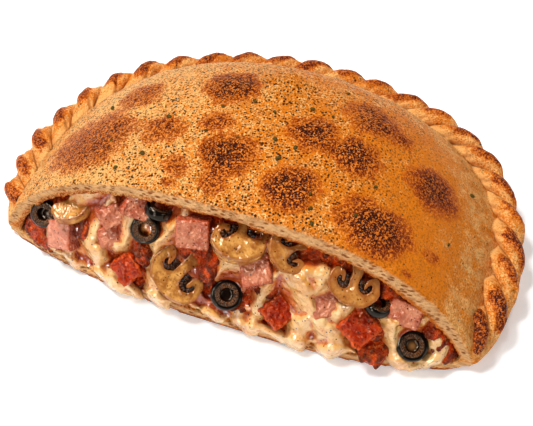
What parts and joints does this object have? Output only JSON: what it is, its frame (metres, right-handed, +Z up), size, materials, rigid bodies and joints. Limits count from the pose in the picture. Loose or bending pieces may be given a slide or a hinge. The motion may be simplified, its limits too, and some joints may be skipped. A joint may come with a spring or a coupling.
{
  "type": "calzone",
  "caption": "Half-moon folded pizza with a puffed toasted crust and twisted rope edge, its straight front cut open on a filling of cheese, sauce, ham, mushroom and olive.",
  "frame": {"origin": "on the table, under the middle of the footprint", "axes": "+Z up; +X along the cut front, to the right as seen from the front; +Y from the cut front to the curved back"},
  "size_m": [0.3004, 0.2009, 0.0821],
  "materials": {
    "crust": "baked bread crust, matt, toasted in spots",
    "sauce": "cooked tomato sauce, wet",
    "cheese": "melted cheese, satin and oily",
    "mushroom": "cooked mushroom, satin",
    "ham": "cooked ham, moist",
    "olive": "black olive, oily skin and grainy flesh"
  },
  "bodies": {
    "root": {"crust": "crust", "sauce": "sauce", "cheese": "cheese", "mushroom_1": "mushroom", "mushroom_2": "mushroom", "mushroom_3": "mushroom", "mushroom_4": "mushroom", "mushroom_5": "mushroom", "ham_1": "ham", "ham_2": "ham", "ham_3": "ham", "ham_4": "ham", "ham_5": "ham", "ham_6": "ham", "ham_7": "ham", "ham_8": "ham", "ham_9": "ham", "ham_10": "ham", "ham_11": "ham", "olive_1": "olive", "olive_2": "olive", "olive_3": "olive", "olive_4": "olive", "olive_5": "olive", "olive_6": "olive"}
  },
  "joints": []
}
